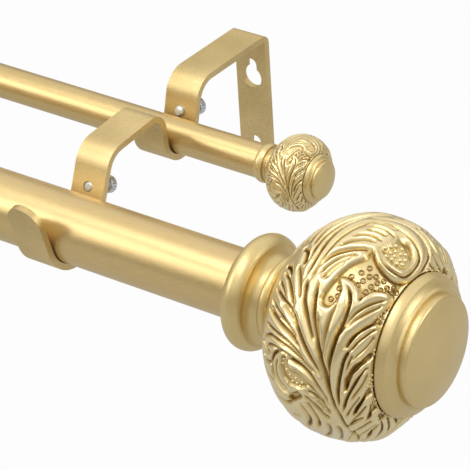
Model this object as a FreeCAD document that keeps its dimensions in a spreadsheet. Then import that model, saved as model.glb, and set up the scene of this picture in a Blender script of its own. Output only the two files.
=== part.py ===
import FreeCAD, Part
import math
import os
import Sketcher
from FreeCAD import Placement, Rotation, Vector

# Double curtain pole: two bent-strip wall brackets, each with two cradles, a slim
# telescopic pole near the wall and a thick one in front, a carved ball finial on
# every pole end, and a knurled lock screw through the back wall of each cradle.
#
# Millimetres. X runs along the poles, +Y points into the wall, Z is up. The origin
# is the middle of the right bracket's wall face, half-way between its keyholes.

SIZES = [
    ("strip_width", 14.5, "width of the bracket strip"),
    ("strip_thick", 2.5, "thickness of the bracket strip"),
    ("arm_rise", 36.7, "top of the inner arm above the origin"),
    ("plate_drop", 26.3, "foot of the wall plate below the origin"),
    ("plate_bend", 2.75, "bend radius at the wall, to the strip's middle"),
    ("arm_bend", 9.2, "bend radius above the back walls, to the middle"),
    ("front_bend", 6.5, "bend radius in front of the rear cradle, to the middle"),
    ("corner_round", 3, "corner radius at the plate's foot"),
    ("rear_reach", 57.3, "wall to the middle of the rear cradle"),
    ("rear_height", 20.5, "middle of the rear cradle above the origin"),
    ("rear_seat", 8, "inner radius of the rear cradle"),
    ("rear_back_lean", 15, "lean of the rear cradle's back wall, degrees"),
    ("rear_front_lean", 4, "lean of the rear cradle's front wall, degrees"),
    ("outer_arm_drop", 3.6, "middle of the outer arm's top below the inner arm's"),
    ("outer_arm_tilt", 4.3, "fall of the outer arm towards the room, degrees"),
    ("pole_spacing", 64.2, "middle of the rear cradle to the middle of the front cradle"),
    ("front_height", 12.7, "middle of the front cradle above the origin"),
    ("front_seat", 13.5, "inner radius of the front cradle"),
    ("front_back_lean", 22, "lean of the front cradle's back wall, degrees"),
    ("front_tab_lean", 15, "lean of the front tab, degrees"),
    ("tab_length", 20.4, "straight part of the front tab"),
    ("key_head", 9, "diameter of a keyhole's round end"),
    ("key_slot", 5, "width of a keyhole's slot"),
    ("key_rise", 5.5, "keyhole's round end to the middle of its slot end"),
    ("key_pitch", 34, "distance between the keyholes"),
    ("seat_gap", 0.1, "pole above the bottom of its cradle"),
    ("span", 520, "distance between the brackets"),
    ("front_pole", 25.4, "outside diameter of the front pole"),
    ("rear_pole", 13, "outside diameter of the rear pole"),
    ("pole_wall", 0.8, "wall of every tube"),
    ("slide_gap", 0.3, "gap round an inner tube in its outer tube"),
    ("tube_overhang", 12, "outer tubes past the left bracket"),
    ("slide_room", 21, "gap from an inner tube's hidden end to the plug beyond it"),
    ("inner_show", 26, "inner tube that shows when pushed in"),
    ("fit_gap", 0.1, "gap round a piece that sits in another"),
    ("screw_dia", 4, "lock screw's shank"),
    ("screw_length", 14, "lock screw, tip to back of head"),
    ("screw_head", 6.6, "lock screw's head"),
    ("screw_head_length", 3.2, "length of the head"),
    ("screw_fit", 0.05, "gap round the shank in its hole"),
    ("screw_point", 0.6, "rounding at the screw's tip"),
    ("knurl_depth", 0.35, "depth of a knurl groove"),
    ("rear_screw_rise", 5.3, "rear screw above the start of its wall"),
    ("rear_screw_proud", 1.5, "rear screw's tip past the wall"),
    ("front_screw_rise", 12.1, "front screw above the start of its wall"),
    ("front_screw_proud", 0.2, "front screw's tip past the wall"),
    ("plug_length", 14, "tube plug, inside the tube"),
    ("plug_flange", 1.2, "flange of a tube plug"),
]

# Each finial is given once for the front pole and once for the rear pole. Lengths
# along the pole run from the open face of the collar.
FINIAL = [
    ("end", 85.1, 45.3, "right bracket to the collar's open face"),
    ("socket", 8, 2.2, "depth of the tube's socket"),
    ("bead_dia", 42, 15.0, "collar's bead"),
    ("bead_foot_dia", 34, 14.2, "collar where the bead starts"),
    ("bead_back_dia", 37, 14.3, "collar where the bead ends"),
    ("bead_width", 8.6, 3.2, "collar's bead, along the pole"),
    ("waist_dia", 28.4, 11.2, "narrowest part of the collar"),
    ("waist_at", 12.6, 4.0, "where the waist ends"),
    ("ring_dia", 32, 12.6, "small ring against the ball"),
    ("collar_length", 16.5, 5.2, "whole collar"),
    ("ball_centre", 45.2, 14.9, "thickest part of the ball"),
    ("ball_dia", 78.4, 28.8, "ball over its leaves"),
    ("ball_back", 29.9, 10.6, "ball's half length towards the pole"),
    ("ball_front", 25.3, 9.5, "ball's half length towards the cap"),
    ("ball_end", 66, 22.9, "where the cap meets the ball"),
    ("relief", 2.6, 1.0, "depth of the carving"),
    ("cap_dia", 50.6, 18.4, "cap's ring"),
    ("cap_ring", 4.6, 1.8, "length of the cap's ring"),
    ("cap_step_dia", 42, 15.2, "step round the cap's button"),
    ("cap_step", 7.2, 2.7, "where the step ends"),
    ("button_dia", 39.4, 14.2, "cap's button"),
    ("button_edge", 8.9, 3.3, "where the button's dome starts"),
    ("button_length", 13.6, 5.1, "whole cap"),
    ("stud_dia", 6, 3, "threaded stud"),
    ("stud_grip", 8, 3, "stud in the cap"),
]


class Size:
    """A length with the document expression that gives it."""

    def __init__(self, value, text):
        self.value = float(value)
        self.text = text

    def __add__(self, other):
        other = as_size(other)
        return Size(self.value + other.value, "(%s + %s)" % (self.text, other.text))

    def __sub__(self, other):
        other = as_size(other)
        return Size(self.value - other.value, "(%s - %s)" % (self.text, other.text))

    def __mul__(self, other):
        other = as_size(other)
        return Size(self.value * other.value, "(%s * %s)" % (self.text, other.text))

    def __truediv__(self, other):
        other = as_size(other)
        return Size(self.value / other.value, "(%s / %s)" % (self.text, other.text))

    def __neg__(self):
        return Size(-self.value, "(-1 * %s)" % self.text)

    def __radd__(self, other):
        return as_size(other) + self

    def __rsub__(self, other):
        return as_size(other) - self

    def __rmul__(self, other):
        return as_size(other) * self


def as_size(thing):
    if isinstance(thing, Size):
        return thing
    return Size(thing, "(%r)" % float(thing))


def sine(angle):
    return Size(math.sin(math.radians(angle.value)), "sin(%s * 1 deg)" % angle.text)


def cosine(angle):
    return Size(math.cos(math.radians(angle.value)), "cos(%s * 1 deg)" % angle.text)


def tangent(angle):
    return Size(math.tan(math.radians(angle.value)), "tan(%s * 1 deg)" % angle.text)


def root(size):
    return Size(math.sqrt(size.value), "sqrt(%s)" % size.text)


doc = FreeCAD.newDocument("curtain_pole")
sheet = doc.addObject("Spreadsheet::Sheet", "Sizes")
size = {}


def put(name, content, value, note):
    """Write one cell with its alias and remember it as a Size."""
    row = len(size) + 1
    sheet.set("A%d" % row, note)
    sheet.set("B%d" % row, content)
    sheet.setAlias("B%d" % row, name)
    size[name] = Size(value, "Sizes." + name)
    return size[name]


def derive(name, result, note):
    """Keep a worked-out length in a cell of its own."""
    return put(name, "=" + result.text.replace("Sizes.", ""), result.value, note)


for name, value, note in SIZES:
    put(name, str(value), value, note)
for name, front, rear, note in FINIAL:
    put("front_" + name, str(front), front, "front finial: " + note)
    put("rear_" + name, str(rear), rear, "rear finial: " + note)


def plane(body, role):
    for item in body.Origin.OriginFeatures:
        if item.Role == role:
            return item
    raise ValueError("no plane " + role)


def new_body(name):
    body = doc.addObject("PartDesign::Body", name)
    body.Label = name
    return body


def new_sketch(body, name, role):
    sketch = body.newObject("Sketcher::SketchObject", name)
    sketch.AttachmentSupport = (plane(body, role), [""])
    sketch.MapMode = "FlatFace"
    return sketch


def bind(target, prop, amount):
    target.setExpression(prop, as_size(amount).text)


def hold(sketch, kind, place, amount):
    """Add a driving dimension that follows an expression."""
    index = sketch.addConstraint(Sketcher.Constraint(kind, *place, amount.value))
    bind(sketch, "Constraints[%d]" % index, amount)


def draw(sketch, corners, bends=None, closed=True):
    """Draw lines and arcs through corners. bends maps the number of the corner
    where an arc starts to its radius, positive where the outline turns left."""
    bends = bends or {}
    corners = [(as_size(x), as_size(y)) for x, y in corners]
    count = len(corners) if closed else len(corners) - 1
    starts = []
    ends = []
    for number in range(count):
        ax, ay = [item.value for item in corners[number]]
        bx, by = [item.value for item in corners[(number + 1) % len(corners)]]
        if number in bends:
            radius = as_size(bends[number])
            left = 1 if radius.value > 0 else -1
            chord = math.hypot(bx - ax, by - ay)
            away = math.sqrt(max(0.0, radius.value ** 2 - chord ** 2 / 4)) * left
            cx = (ax + bx) / 2 - (by - ay) / chord * away
            cy = (ay + by) / 2 + (bx - ax) / chord * away
            from_angle = math.atan2(ay - cy, ax - cx)
            to_angle = math.atan2(by - cy, bx - cx)
            if left < 0:
                from_angle, to_angle = to_angle, from_angle
            if to_angle < from_angle:
                to_angle += 2 * math.pi
            circle = Part.Circle(Vector(cx, cy, 0), Vector(0, 0, 1), abs(radius.value))
            edge = sketch.addGeometry(Part.ArcOfCircle(circle, from_angle, to_angle))
            hold(sketch, "Radius", (edge,), radius if left > 0 else -radius)
            starts.append((edge, 1 if left > 0 else 2))
            ends.append((edge, 2 if left > 0 else 1))
        else:
            line = Part.LineSegment(Vector(ax, ay, 0), Vector(bx, by, 0))
            edge = sketch.addGeometry(line)
            starts.append((edge, 1))
            ends.append((edge, 2))
    for number in range(1, count):
        sketch.addConstraint(Sketcher.Constraint("Coincident", *ends[number - 1], *starts[number]))
    if closed:
        sketch.addConstraint(Sketcher.Constraint("Coincident", *ends[-1], *starts[0]))
    points = starts if closed else starts + [ends[-1]]
    for point, (x, y) in zip(points, corners):
        hold(sketch, "DistanceX", (-1, 1) + point, x)
        hold(sketch, "DistanceY", (-1, 1) + point, y)


def ring(sketch, radii):
    """Circles about the sketch's origin."""
    for radius in radii:
        circle = Part.Circle(Vector(0, 0, 0), Vector(0, 0, 1), radius.value)
        edge = sketch.addGeometry(circle)
        sketch.addConstraint(Sketcher.Constraint("Coincident", edge, 3, -1, 1))
        hold(sketch, "Radius", (edge,), radius)


def move(item, x=0, y=0, z=0):
    bind(item, "Placement.Base.x", x)
    bind(item, "Placement.Base.y", y)
    bind(item, "Placement.Base.z", z)


# The strip's middle line, worked out in the plane of Y and Z

half = size["strip_thick"] / 2
derive("front_reach", size["rear_reach"] + size["pole_spacing"], "wall to the middle of the front cradle")


def wall_start(reach, height, seat, lean, side):
    """Where a cradle's round bottom ends and its leaning wall starts."""
    mid = size[seat] + half
    y = mid * cosine(size[lean]) * side - size[reach]
    z = size[height] - mid * sine(size[lean])
    return y, z


inner_top = derive("inner_top", size["arm_rise"] - half, "middle of the inner arm")
outer_top = derive("outer_top", inner_top - size["outer_arm_drop"], "middle of the outer arm")
half_way = derive("half_way", (size["rear_reach"] + size["front_reach"]) / 2,
                  "wall to the middle of the outer arm")
fall = derive("fall", tangent(size["outer_arm_tilt"]), "fall of the outer arm per millimetre")

starts = {}
for name, lean, side in (("rear", "rear_back_lean", 1), ("rear_up", "rear_front_lean", -1),
                         ("front", "front_back_lean", 1), ("front_up", "front_tab_lean", -1)):
    pole = name.split("_")[0]
    y, z = wall_start(pole + "_reach", pole + "_height", pole + "_seat", lean, side)
    starts[name] = (derive(name + "_wall_y", y, "start of a cradle wall"),
                    derive(name + "_wall_z", z, "start of a cradle wall"))


def back_wall_top(name, height, slope):
    """Corner where a back wall would meet the arm that leads to it."""
    y, z = starts[name]
    lean = size[name + "_back_lean"]
    run = (height - z + (y + half_way) * slope) / (cosine(lean) - sine(lean) * slope)
    run = derive(name + "_wall_run", run, "length of a back wall up to its corner")
    return y + run * sine(lean), z + run * cosine(lean)


inner_corner = back_wall_top("rear", inner_top, as_size(0))
outer_corner = back_wall_top("front", outer_top, fall)
up_y, up_z = starts["rear_up"]
up_lean = size["rear_front_lean"]
up_run = (outer_top - up_z + (up_y + half_way) * fall) / (cosine(up_lean) + sine(up_lean) * fall)
up_run = derive("up_run", up_run, "length of the rear cradle's front wall up to its corner")
up_corner = (up_y - up_run * sine(up_lean), up_z + up_run * cosine(up_lean))

inner_cut = derive("inner_cut", size["arm_bend"] * tangent((90 - size["rear_back_lean"]) / 2),
                   "bend's reach along the inner arm")
up_turn = 90 + size["outer_arm_tilt"] - size["rear_front_lean"]
up_cut = derive("up_cut", size["front_bend"] * tangent(up_turn / 2), "bend's reach along the outer arm")
outer_turn = 90 - size["front_back_lean"] - size["outer_arm_tilt"]
outer_cut = derive("outer_cut", size["arm_bend"] * tangent(outer_turn / 2),
                   "bend's reach before the front cradle")


def along(corner, direction, reach):
    return corner[0] + direction[0] * reach, corner[1] + direction[1] * reach


def down_wall(lean):
    return -sine(size[lean]), -cosine(size[lean])


arm_out = (-cosine(size["outer_arm_tilt"]), -sine(size["outer_arm_tilt"]))
arm_back = (cosine(size["outer_arm_tilt"]), sine(size["outer_arm_tilt"]))
tab_up = (-sine(size["front_tab_lean"]), cosine(size["front_tab_lean"]))
middle_line = [
    (-half, -size["plate_drop"]),
    (-half, inner_top - size["plate_bend"]),
    (-half - size["plate_bend"], inner_top),
    (inner_corner[0] + inner_cut, inner_top),
    along(inner_corner, down_wall("rear_back_lean"), inner_cut),
    starts["rear"],
    starts["rear_up"],
    (up_corner[0] + up_cut * sine(up_lean), up_corner[1] - up_cut * cosine(up_lean)),
    along(up_corner, arm_out, up_cut),
    along(outer_corner, arm_back, outer_cut),
    along(outer_corner, down_wall("front_back_lean"), outer_cut),
    starts["front"],
    starts["front_up"],
    along(starts["front_up"], tab_up, size["tab_length"]),
]
middle_bends = {
    1: size["plate_bend"],
    3: size["arm_bend"],
    5: -(size["rear_seat"] + half),
    7: size["front_bend"],
    9: size["arm_bend"],
    11: -(size["front_seat"] + half),
}


def screw_point(name):
    """Lock screw's axis at the middle of its wall."""
    y, z = starts[name]
    lean = size[name + "_back_lean"]
    rise = size[name + "_screw_rise"]
    return y + rise * sine(lean), z + rise * cosine(lean)


screw_at = {}
for name in ("rear", "front"):
    y, z = screw_point(name)
    screw_at[name] = (derive(name + "_screw_y", y, "lock screw in its wall"),
                      derive(name + "_screw_z", z, "lock screw in its wall"))


def end_corners(shape, near, reach):
    """Short edges across the strip's thickness at one of its ends."""
    found = []
    for number, edge in enumerate(shape.Edges, 1):
        if len(edge.Vertexes) != 2 or abs(edge.Length - size["strip_thick"].value) > 0.01:
            continue
        if edge.CenterOfMass.distanceToPoint(near) < reach:
            found.append("Edge%d" % number)
    return found


def round_corners(body, name, near, radius):
    base = body.Tip
    fillet = body.newObject("PartDesign::Fillet", name)
    fillet.Base = (base, end_corners(base.Shape, near, size["strip_width"].value))
    fillet.Radius = radius.value
    bind(fillet, "Radius", radius)
    doc.recompute()


def bracket(name, x):
    """One strip, bent into a wall plate, two arms, two cradles and a front tab."""
    body = new_body(name)
    path = new_sketch(body, name + "_path", "YZ_Plane")
    draw(path, middle_line, middle_bends, closed=False)
    section = new_sketch(body, name + "_section", "XY_Plane")
    bind(section, "AttachmentOffset.Base.z", -size["plate_drop"])
    side = size["strip_width"] / 2
    draw(section, [(-side, -size["strip_thick"]), (side, -size["strip_thick"]), (side, 0), (-side, 0)])
    doc.recompute()
    strip = body.newObject("PartDesign::AdditivePipe", name + "_strip")
    strip.Profile = section
    strip.Spine = (path, ["Edge%d" % (number + 1) for number in range(len(path.Geometry))])
    strip.Transition = "Transformed"
    doc.recompute()

    keyhole = new_sketch(body, name + "_keyhole", "XZ_Plane")
    head = size["key_head"] / 2
    slot = size["key_slot"] / 2
    neck = root(head * head - slot * slot) - size["key_pitch"] / 2
    foot = -size["key_pitch"] / 2
    draw(keyhole, [(slot, neck), (slot, foot + size["key_rise"]), (0, foot + size["key_rise"] + slot),
                   (-slot, foot + size["key_rise"]), (-slot, neck), (0, foot - head)],
         {1: slot, 2: slot, 4: head, 5: head})
    cut = body.newObject("PartDesign::Pocket", name + "_lower_keyhole")
    cut.Profile = keyhole
    cut.Midplane = True
    bind(cut, "Length", size["strip_thick"] * 4)
    doc.recompute()
    row = body.newObject("PartDesign::LinearPattern", name + "_keyholes")
    row.Originals = [cut]
    row.Direction = (plane(body, "Z_Axis"), [""])
    bind(row, "Length", size["key_pitch"])
    row.Occurrences = 2
    body.Tip = row
    doc.recompute()

    for pole in ("rear", "front"):
        hole = body.newObject("PartDesign::SubtractiveCylinder", name + "_" + pole + "_screw_hole")
        bind(hole, "Radius", size["screw_dia"] / 2 + size["screw_fit"])
        bind(hole, "Height", size["strip_thick"] * 3)
        lean = size[pole + "_back_lean"]
        y, z = screw_at[pole]
        hole.Placement.Rotation = Rotation(Vector(1, 0, 0), -90 - lean.value)
        bind(hole, "Placement.Rotation.Angle", -90 - lean)
        move(hole, 0, y - cosine(lean) * size["strip_thick"] * 1.5,
             z + sine(lean) * size["strip_thick"] * 1.5)
        doc.recompute()

    tab_end = [item.value for item in middle_line[-1]]
    round_corners(body, name + "_tab_end", Vector(0, *tab_end), size["strip_width"] / 2 - 0.05)
    foot_at = Vector(0, -half.value, -size["plate_drop"].value)
    round_corners(body, name + "_foot", foot_at, size["corner_round"])
    move(body, x)
    return body


def lock_screw(name, pole, x):
    """Knurled thumb screw. Its own axis is Y, with the head on the wall's side."""
    body = new_body(name)
    outline = new_sketch(body, name + "_outline", "XY_Plane")
    shank = size["screw_dia"] / 2
    head = size["screw_head"] / 2
    point = size["screw_point"]
    neck = size["screw_length"] - size["screw_head_length"]
    draw(outline, [(0, 0), (shank - point, 0), (shank, point), (shank, neck), (head - 0.3, neck),
                   (head, neck + 0.3), (head, size["screw_length"] - 0.5),
                   (head - 0.5, size["screw_length"]), (0, size["screw_length"])])
    turned = body.newObject("PartDesign::Revolution", name + "_turned")
    turned.Profile = outline
    turned.ReferenceAxis = (outline, ["V_Axis"])
    turned.Angle = 360
    doc.recompute()
    groove = new_sketch(body, name + "_groove", "XZ_Plane")
    depth = size["knurl_depth"]
    draw(groove, [(head - depth, 0), (head + depth, -depth), (head + depth, depth)])
    cut = body.newObject("PartDesign::Pocket", name + "_knurl_cut")
    cut.Profile = groove
    bind(cut, "Length", size["screw_length"] * 2)
    cut.Midplane = True
    doc.recompute()
    knurl = body.newObject("PartDesign::PolarPattern", name + "_knurl")
    knurl.Originals = [cut]
    knurl.Axis = (plane(body, "Y_Axis"), [""])
    knurl.Angle = 360
    knurl.Occurrences = 18
    body.Tip = knurl
    doc.recompute()
    lean = size[pole + "_back_lean"]
    back = half + size[pole + "_screw_proud"]
    y, z = screw_at[pole]
    body.Placement.Rotation = Rotation(Vector(1, 0, 0), -lean.value)
    bind(body, "Placement.Rotation.Angle", -lean)
    move(body, x, y - cosine(lean) * back, z + sine(lean) * back)
    return body


# Where each pole lies in its cradles
axis_at = {}
for pole in ("rear", "front"):
    z = size[pole + "_height"] - size[pole + "_seat"] + size[pole + "_pole"] / 2 + size["seat_gap"]
    axis_at[pole] = (-size[pole + "_reach"], derive(pole + "_axis_z", z, "pole's axis above the origin"))


def tube(name, pole, outside, start, length):
    body = new_body(name)
    section = new_sketch(body, name + "_section", "YZ_Plane")
    ring(section, [outside / 2, outside / 2 - size["pole_wall"]])
    pad = body.newObject("PartDesign::Pad", name + "_wall")
    pad.Profile = section
    bind(pad, "Length", length)
    doc.recompute()
    y, z = axis_at[pole]
    move(body, start, y, z)
    return body


def turned_piece(name, corners, bends):
    """Solid of revolution about its own X axis."""
    body = new_body(name)
    outline = new_sketch(body, name + "_outline", "XY_Plane")
    draw(outline, corners, bends)
    turned = body.newObject("PartDesign::Revolution", name + "_turned")
    turned.Profile = outline
    turned.ReferenceAxis = (outline, ["H_Axis"])
    turned.Angle = 360
    doc.recompute()
    return body


def ball_radius(pole, x):
    """Ball's radius over the leaves, x from its thickest part."""
    full = size[pole + "_ball_dia"].value / 2
    if x < 0:
        share = 1 - (x / size[pole + "_ball_back"].value) ** 2
        return full * math.sqrt(max(0.0, share))
    share = 1 - (x / size[pole + "_ball_front"].value) ** 3
    return full * max(0.0, share) ** (1 / 3)


# The carving repeats after half a turn. A stem waves round the ball, small leaves run
# from it towards the collar and broad ones towards the cap. Angles are in degrees, 0
# towards the room and 90 at the top, and shares run from the collar to the cap.
STEM_MIDDLE = 0.66
STEM_SWING = 0.14
STEM_LOW = 62
SMALL_LEAF_SWEEP = 50
BROAD_LEAF_SWEEP = 38
VALLEY = 0.1
GROOVE = 0.2


def stem_share(angle):
    return STEM_MIDDLE - STEM_SWING * math.cos(math.radians(2 * (angle - STEM_LOW)))


def small_leaf(step, share):
    """Height on the collar's side, share from the stem to the collar."""
    top = 1 if step % 2 else VALLEY
    plain = 0.5
    fade = min(1, max(0, share - 0.7) / 0.3)
    return top * (1 - fade) + plain * fade


def broad_leaf(step, share):
    """Height on the cap's side, share from the stem to the cap."""
    across = (VALLEY, 0.8, 0.95, 0.8)[step % 4]
    tip = max(0, share - 0.6) / 0.4
    if step % 4 in (1, 3):
        across -= 0.5 * tip
    return across


def leaf_rows(small_rows, broad_rows):
    """Rows of the facets: side of the stem, share of the way from it, and its own height."""
    rows = []
    for row in range(small_rows):
        rows.append((-1, 1 - row / small_rows * 0.88, None))
    rows.append((-1, 0.07, GROOVE))
    rows.append((-1, 0.035, 1))
    rows.append((0, 0, 1.05))
    rows.append((1, 0.08, 1))
    rows.append((1, 0.15, GROOVE))
    for row in range(broad_rows):
        rows.append((1, 0.25 + 0.75 * row / (broad_rows - 1), None))
    return rows


def ball_arc(pole):
    """Points along the ball's outline, with the length of outline up to each."""
    start = size[pole + "_collar_length"].value
    end = size[pole + "_ball_end"].value
    centre = size[pole + "_ball_centre"].value
    last = (ball_radius(pole, end - centre) + size[pole + "_cap_dia"].value / 2) / 2
    count = 400
    outline = []
    for number in range(count):
        x = start + (end - start) * 0.975 * number / (count - 1)
        outline.append((x, ball_radius(pole, x - centre)))
    outline.append((end, last))
    arc = [0]
    for (x0, r0), (x1, r1) in zip(outline, outline[1:]):
        arc.append(arc[-1] + math.hypot(x1 - x0, r1 - r0))
    return outline, arc


def on_outline(outline, arc, share):
    """Point of the outline at a share of its length."""
    wanted = arc[-1] * share
    for number in range(1, len(arc)):
        if arc[number] >= wanted or number == len(arc) - 1:
            step = arc[number] - arc[number - 1]
            part = min(1, (wanted - arc[number - 1]) / step)
            x0, r0 = outline[number - 1]
            x1, r1 = outline[number]
            return x0 + (x1 - x0) * part, r0 + (r1 - r0) * part
    return outline[-1]


def carved_ball(name, pole, around, small_rows, broad_rows):
    """Cast ball with leaf relief, faceted, with a bore for the stud. The columns of
    facets follow the leaves, so that each ridge and each cut is a clean edge."""
    relief = size[pole + "_relief"].value
    bore = size[pole + "_stud_dia"].value / 2 + size["fit_gap"].value
    outline, arc = ball_arc(pole)
    grid = []
    for way, away, own_height in leaf_rows(small_rows, broad_rows):
        ring_points = []
        for step in range(around):
            angle = 360 * step / around
            stem = stem_share(angle)
            if way < 0:
                share = stem * (1 - away)
                angle += SMALL_LEAF_SWEEP * away
                height = small_leaf(step, away)
            else:
                share = stem + (1 - stem) * away
                angle += BROAD_LEAF_SWEEP * away
                height = broad_leaf(step, away)
            if own_height is not None:
                height = own_height
            x, radius = on_outline(outline, arc, share)
            radius -= relief * (1 - min(1, height))
            turn = math.radians(angle)
            ring_points.append(Vector(x, -radius * math.cos(turn), radius * math.sin(turn)))
        grid.append(ring_points)
    inner = []
    for ring_points in (grid[0], grid[-1]):
        shrunk = []
        for point in ring_points:
            reach = bore / math.hypot(point.y, point.z)
            shrunk.append(Vector(point.x, point.y * reach, point.z * reach))
        inner.append(shrunk)
    loops = [inner[0]] + grid + [inner[1]]
    faces = []
    for low, high in zip(loops, loops[1:]):
        for step in range(around):
            after = (step + 1) % around
            faces.append((low[step], low[after], high[after]))
            faces.append((low[step], high[after], high[step]))
    slip = round((SMALL_LEAF_SWEEP - BROAD_LEAF_SWEEP) * around / 360)
    for step in range(around):
        after = (step + 1) % around
        level = (step - slip) % around
        level_after = (after - slip) % around
        faces.append((inner[1][step], inner[1][after], inner[0][level_after]))
        faces.append((inner[1][step], inner[0][level_after], inner[0][level]))
    shell = Part.makeShell([Part.Face(Part.makePolygon(list(face) + [face[0]])) for face in faces])
    solid = Part.makeSolid(shell)
    if solid.Volume < 0:
        solid.reverse()
    ball = doc.addObject("Part::Feature", name)
    ball.Label = name
    ball.Shape = solid
    return ball


def finial(side, pole, seat_x, outside, facing):
    """Plug, collar, ball, cap and stud on one pole end. seat_x is the collar's face."""
    own = {key: size[pole + "_" + key] for key, *rest in FINIAL}
    stem = side + "_" + pole
    bore = own["stud_dia"] / 2 + size["fit_gap"]
    socket = outside / 2 + size["fit_gap"]
    bead = own["bead_dia"] / 2
    foot = own["bead_foot_dia"] / 2
    waist = own["waist_dia"] / 2
    small = own["ring_dia"] / 2
    back = own["bead_back_dia"] / 2
    chord = own["bead_width"]
    top = chord / 2
    near_bend = (top * top + (bead - foot) * (bead - foot)) / ((bead - foot) * 2)
    far_bend = (top * top + (bead - back) * (bead - back)) / ((bead - back) * 2)
    cove_run = own["waist_at"] - chord
    cove_bend = (cove_run * cove_run + (back - waist) * (back - waist)) / ((back - waist) * 2)
    ring_run = own["collar_length"] - own["waist_at"]
    ring_rise = small - waist
    ring_bend = (ring_run * ring_run / 4 + ring_rise * ring_rise) / (ring_rise * 2)
    pieces = []

    collar = turned_piece(stem + "_collar", [
        (0, socket), (0, foot), (top, bead), (chord, back), (own["waist_at"], waist),
        ((own["waist_at"] + own["collar_length"]) / 2, small), (own["collar_length"], waist),
        (own["collar_length"], bore), (own["socket"], bore), (own["socket"], socket),
    ], {1: -near_bend, 2: -far_bend, 3: cove_bend, 4: -ring_bend, 5: -ring_bend})
    pieces.append(collar)

    plug_wall = outside / 2 - size["pole_wall"]
    grip = own["socket"]
    plug = turned_piece(stem + "_plug", [
        (grip - size["plug_flange"] - size["plug_length"], own["stud_dia"] / 2 + size["fit_gap"]),
        (grip - size["plug_flange"] - size["plug_length"], plug_wall - size["fit_gap"]),
        (grip - size["plug_flange"], plug_wall - size["fit_gap"]),
        (grip - size["plug_flange"], outside / 2),
        (grip, outside / 2),
        (grip, own["stud_dia"] / 2 + size["fit_gap"]),
    ], {})
    pieces.append(plug)

    face = own["ball_end"]
    cap_ring = own["cap_dia"] / 2
    step = own["cap_step_dia"] / 2
    button = own["button_dia"] / 2
    ring_half = own["cap_ring"] / 2
    cove = own["cap_step"] - own["cap_ring"]
    dome_rise = own["button_length"] - own["button_edge"]
    edge_round = dome_rise / 4
    dome_chord = button - edge_round
    dome_sag = dome_rise - edge_round
    dome_bend = (dome_chord * dome_chord + dome_sag * dome_sag) / (dome_sag * 2)
    cap = turned_piece(stem + "_cap", [
        (face + own["stud_grip"], 0), (face + own["stud_grip"], bore), (face, bore),
        (face, cap_ring - ring_half * 0.5), (face + ring_half * 0.7, cap_ring),
        (face + own["cap_ring"], cap_ring - ring_half * 0.5),
        (face + own["cap_ring"] + cove * 0.6, step + (cap_ring - step) * 0.12),
        (face + own["cap_step"], step), (face + own["cap_step"], button),
        (face + own["button_edge"], button),
        (face + own["button_edge"] + edge_round, button - edge_round),
        (face + own["button_length"], 0),
    ], {3: -own["cap_ring"] * 0.8, 4: -own["cap_ring"] * 1.2, 5: own["cap_ring"] * 2,
        9: -edge_round * 1.02, 10: -dome_bend})
    pieces.append(cap)

    stud = turned_piece(stem + "_stud", [
        (grip - size["plug_flange"] - size["plug_length"] + 1, 0),
        (grip - size["plug_flange"] - size["plug_length"] + 1, own["stud_dia"] / 2),
        (face + own["stud_grip"] - 0.5, own["stud_dia"] / 2),
        (face + own["stud_grip"] - 0.5, 0),
    ], {})
    pieces.append(stud)

    if pole == "front":
        ball = carved_ball(stem + "_ball", pole, 80, 12, 9)
    else:
        ball = carved_ball(stem + "_ball", pole, 40, 5, 4)
    pieces.append(ball)

    y, z = axis_at[pole]
    for piece in pieces:
        if facing < 0:
            piece.Placement.Rotation = Rotation(Vector(0, 0, 1), 180)
        move(piece, seat_x, y, z)
    return pieces


bracket("bracket_right", 0)
bracket("bracket_left", -size["span"])
for side, x in (("right", 0), ("left", -size["span"])):
    lock_screw(side + "_rear_lock_screw", "rear", x)
    lock_screw(side + "_front_lock_screw", "front", x)

for pole in ("front", "rear"):
    outside = size[pole + "_pole"]
    inside = outside - size["pole_wall"] * 2 - size["slide_gap"] * 2
    tube_end = size[pole + "_end"] + size[pole + "_socket"] - size["plug_flange"]
    outer_start = -size["span"] - size["tube_overhang"]
    tube(pole + "_outer_tube", pole, outside, outer_start, tube_end - outer_start)
    left_face = outer_start - size["inner_show"]
    inner_start = left_face - size[pole + "_socket"] + size["plug_flange"]
    inner_end = tube_end - size["plug_length"] - size["slide_room"]
    tube(pole + "_inner_tube", pole, inside, inner_start, inner_end - inner_start)
    finial("right", pole, size[pole + "_end"], outside, 1)
    finial("left", pole, left_face, inside, -1)

doc.recompute()

os.makedirs("parts", exist_ok=True)
for item in doc.Objects:
    if "Invalid" in item.State or "Error" in item.State:
        raise RuntimeError(item.Name + " has errors")
    if item.TypeId not in ("PartDesign::Body", "Part::Feature"):
        continue
    if item.Shape.isNull() or not item.Shape.isValid():
        raise RuntimeError(item.Name + " has no valid shape")
    item.Shape.exportStep("parts/" + item.Label + ".step")
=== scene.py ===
import bpy
import math
import numpy as np
from mathutils import Matrix, Vector


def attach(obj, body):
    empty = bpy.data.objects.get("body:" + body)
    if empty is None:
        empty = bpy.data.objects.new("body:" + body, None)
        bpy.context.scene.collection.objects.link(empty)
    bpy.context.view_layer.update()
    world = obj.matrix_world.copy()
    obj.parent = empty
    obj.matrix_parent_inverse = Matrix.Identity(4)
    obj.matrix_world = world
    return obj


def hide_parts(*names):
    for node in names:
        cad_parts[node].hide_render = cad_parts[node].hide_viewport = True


# Double curtain pole in gold lacquer, with a carved acanthus ball on every pole end.
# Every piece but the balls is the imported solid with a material. The balls are
# replaced by carved ones, and a pale floor, the world and three softboxes light them.

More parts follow.
